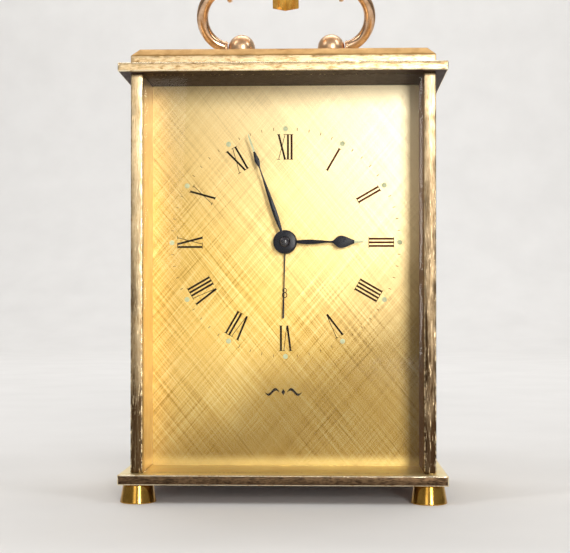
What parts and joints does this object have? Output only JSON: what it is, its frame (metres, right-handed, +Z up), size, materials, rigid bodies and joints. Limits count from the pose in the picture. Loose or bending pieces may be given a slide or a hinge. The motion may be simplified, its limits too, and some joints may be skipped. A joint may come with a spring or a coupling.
{
  "type": "carriage clock",
  "caption": "Rectangular brass carriage alarm clock with a stepped top, turned feet, folding handle, recessed dial, hands, geared movement and rear winding keys.",
  "frame": {"origin": "under the centre of the base, in the plane the four feet stand on", "axes": "X runs to the right as the dial is read, Y from the glass to the rear cover, Z up"},
  "size_m": [0.088, 0.056, 0.1505],
  "materials": {
    "brushed_brass": "satin",
    "polished_brass": "polished",
    "dial_gold": "satin",
    "movement_brass": "satin",
    "blued_steel": "polished",
    "steel": "satin",
    "spring_steel": "satin",
    "glass": "polished",
    "numeral_paint": "satin",
    "luminous_paint": "matte"
  },
  "bodies": {
    "case": {"base_plate": "brushed_brass", "side_wall_left": "brushed_brass", "side_wall_right": "brushed_brass", "top_slab": "brushed_brass", "top_cap": "brushed_brass", "front_glass": "glass", "foot_front_left": "polished_brass", "foot_front_right": "polished_brass", "foot_rear_left": "polished_brass", "foot_rear_right": "polished_brass", "handle_post_left": "polished_brass", "handle_post_right": "polished_brass", "dial_plate": "dial_gold", "motion_stud": "steel", "hairspring": "spring_steel", "alarm_bell": "steel", "movement_front_plate": "movement_brass", "movement_rear_plate": "movement_brass", "pillar_lower_left": "movement_brass", "pillar_lower_right": "movement_brass", "pillar_upper_left": "movement_brass", "pillar_upper_right": "movement_brass", "cover_screw_lower_left": "steel", "cover_screw_lower_right": "steel", "cover_screw_upper_left": "steel", "cover_screw_upper_right": "steel", "rear_cover": "brushed_brass"},
    "handle": {"handle_arm_left": "polished_brass", "handle_arm_right": "polished_brass", "handle_grip": "polished_brass"},
    "minute": {"centre_arbor": "steel", "minute_hand": "blued_steel", "hand_nut": "blued_steel", "hand_set_knob": "polished_brass"},
    "hour": {"hour_wheel": "movement_brass", "hour_hand": "blued_steel"},
    "motion": {"minute_wheel": "movement_brass"},
    "alarm_setting": {"alarm_set_arbor": "steel", "alarm_set_knob": "polished_brass"},
    "alarm_indicator": {"alarm_wheel": "movement_brass", "alarm_hand": "blued_steel"},
    "time_drum": {"time_barrel": "movement_brass", "time_barrel_lid": "movement_brass", "time_mainspring": "spring_steel"},
    "third": {"third_wheel": "movement_brass"},
    "escape": {"escape_wheel": "movement_brass"},
    "fork": {"pallet_fork": "steel"},
    "balance": {"balance_wheel": "movement_brass"},
    "alarm_drum": {"alarm_barrel": "movement_brass", "alarm_barrel_lid": "movement_brass", "alarm_mainspring": "spring_steel"},
    "alarm_train": {"alarm_train_wheel": "movement_brass"},
    "hammer": {"alarm_hammer": "steel"},
    "time_winder": {"time_key": "polished_brass"},
    "time_wing": {"time_key_wing": "polished_brass"},
    "alarm_winder": {"alarm_key": "polished_brass"},
    "alarm_wing": {"alarm_key_wing": "polished_brass"},
    "regulator": {"regulator_lever": "steel"},
    "stop_button": {"alarm_stop_button": "steel"}
  },
  "joints": [
    {"name": "handle_fold", "type": "hinge", "parent": "case", "child": "handle", "pos_m": [0, 0, 0.1276], "axis": [1, 0, 0], "range_deg": [-115, 65]},
    {"name": "minute_turn", "type": "hinge", "parent": "case", "child": "minute", "pos_m": [0, 0, 0.0708], "axis": [0, 1, 0], "continuous": true},
    {"name": "hour_turn", "type": "hinge", "parent": "case", "child": "hour", "pos_m": [0, 0, 0.0708], "axis": [0, 1, 0], "continuous": true},
    {"name": "motion_turn", "type": "hinge", "parent": "case", "child": "motion", "pos_m": [0, 0, 0.0808], "axis": [0, 1, 0], "continuous": true},
    {"name": "alarm_set_turn", "type": "hinge", "parent": "case", "child": "alarm_setting", "pos_m": [0, 0, 0.0588], "axis": [0, 1, 0], "continuous": true},
    {"name": "alarm_hand_turn", "type": "hinge", "parent": "case", "child": "alarm_indicator", "pos_m": [0, 0, 0.0708], "axis": [0, 1, 0], "continuous": true},
    {"name": "time_barrel_turn", "type": "hinge", "parent": "case", "child": "time_drum", "pos_m": [-0.01428, 0, 0.0656], "axis": [0, 1, 0], "continuous": true},
    {"name": "third_turn", "type": "hinge", "parent": "case", "child": "third", "pos_m": [0.0055, 0, 0.08033], "axis": [0, 1, 0], "continuous": true},
    {"name": "escape_turn", "type": "hinge", "parent": "case", "child": "escape", "pos_m": [0.00211, 0, 0.08963], "axis": [0, 1, 0], "continuous": true},
    {"name": "fork_rock", "type": "hinge", "parent": "case", "child": "fork", "pos_m": [-0.00279, 0, 0.09405], "axis": [0, 1, 0], "range_deg": [-4, 4]},
    {"name": "balance_swing", "type": "hinge", "parent": "case", "child": "balance", "pos_m": [-0.00874, 0, 0.0994], "axis": [0, 1, 0], "range_deg": [-135, 135], "stiffness_Nm_per_rad": 0.000008},
    {"name": "alarm_barrel_turn", "type": "hinge", "parent": "case", "child": "alarm_drum", "pos_m": [0.016, 0, 0.06], "axis": [0, 1, 0], "continuous": true},
    {"name": "alarm_train_turn", "type": "hinge", "parent": "case", "child": "alarm_train", "pos_m": [0.0212, 0, 0.07428], "axis": [0, 1, 0], "continuous": true},
    {"name": "hammer_swing", "type": "hinge", "parent": "case", "child": "hammer", "pos_m": [0.0265, 0.0145, 0.077], "axis": [0, 1, 0], "range_deg": [0, 8]},
    {"name": "time_key_turn", "type": "hinge", "parent": "case", "child": "time_winder", "pos_m": [-0.01428, 0, 0.0656], "axis": [0, 1, 0], "continuous": true},
    {"name": "time_wing_fold", "type": "hinge", "parent": "time_winder", "child": "time_wing", "pos_m": [-0.01428, 0.0219, 0.0656], "axis": [1, 0, 0], "range_deg": [0, 90]},
    {"name": "alarm_key_turn", "type": "hinge", "parent": "case", "child": "alarm_winder", "pos_m": [0.016, 0, 0.06], "axis": [0, 1, 0], "continuous": true},
    {"name": "alarm_wing_fold", "type": "hinge", "parent": "alarm_winder", "child": "alarm_wing", "pos_m": [0.016, 0.0219, 0.06], "axis": [1, 0, 0], "range_deg": [0, 90]},
    {"name": "regulator_swing", "type": "hinge", "parent": "case", "child": "regulator", "pos_m": [-0.00874, 0, 0.0994], "axis": [0, 1, 0], "range_deg": [-20, 20]},
    {"name": "stop_press", "type": "slide", "parent": "case", "child": "stop_button", "axis": [0, -1, 0], "range_m": [0, 0.002], "stiffness_N_per_m": 400, "springref_m": -0.002}
  ],
  "couplings": [
    {"joint": "hour_turn", "follows": "minute_turn", "ratio": 0.083333},
    {"joint": "motion_turn", "follows": "minute_turn", "ratio": -0.33333},
    {"joint": "time_barrel_turn", "follows": "minute_turn", "ratio": -0.26667},
    {"joint": "third_turn", "follows": "minute_turn", "ratio": -4},
    {"joint": "escape_turn", "follows": "minute_turn", "ratio": 14},
    {"joint": "alarm_hand_turn", "follows": "alarm_set_turn", "ratio": -0.33333},
    {"joint": "alarm_train_turn", "follows": "alarm_barrel_turn", "ratio": -3.75}
  ]
}
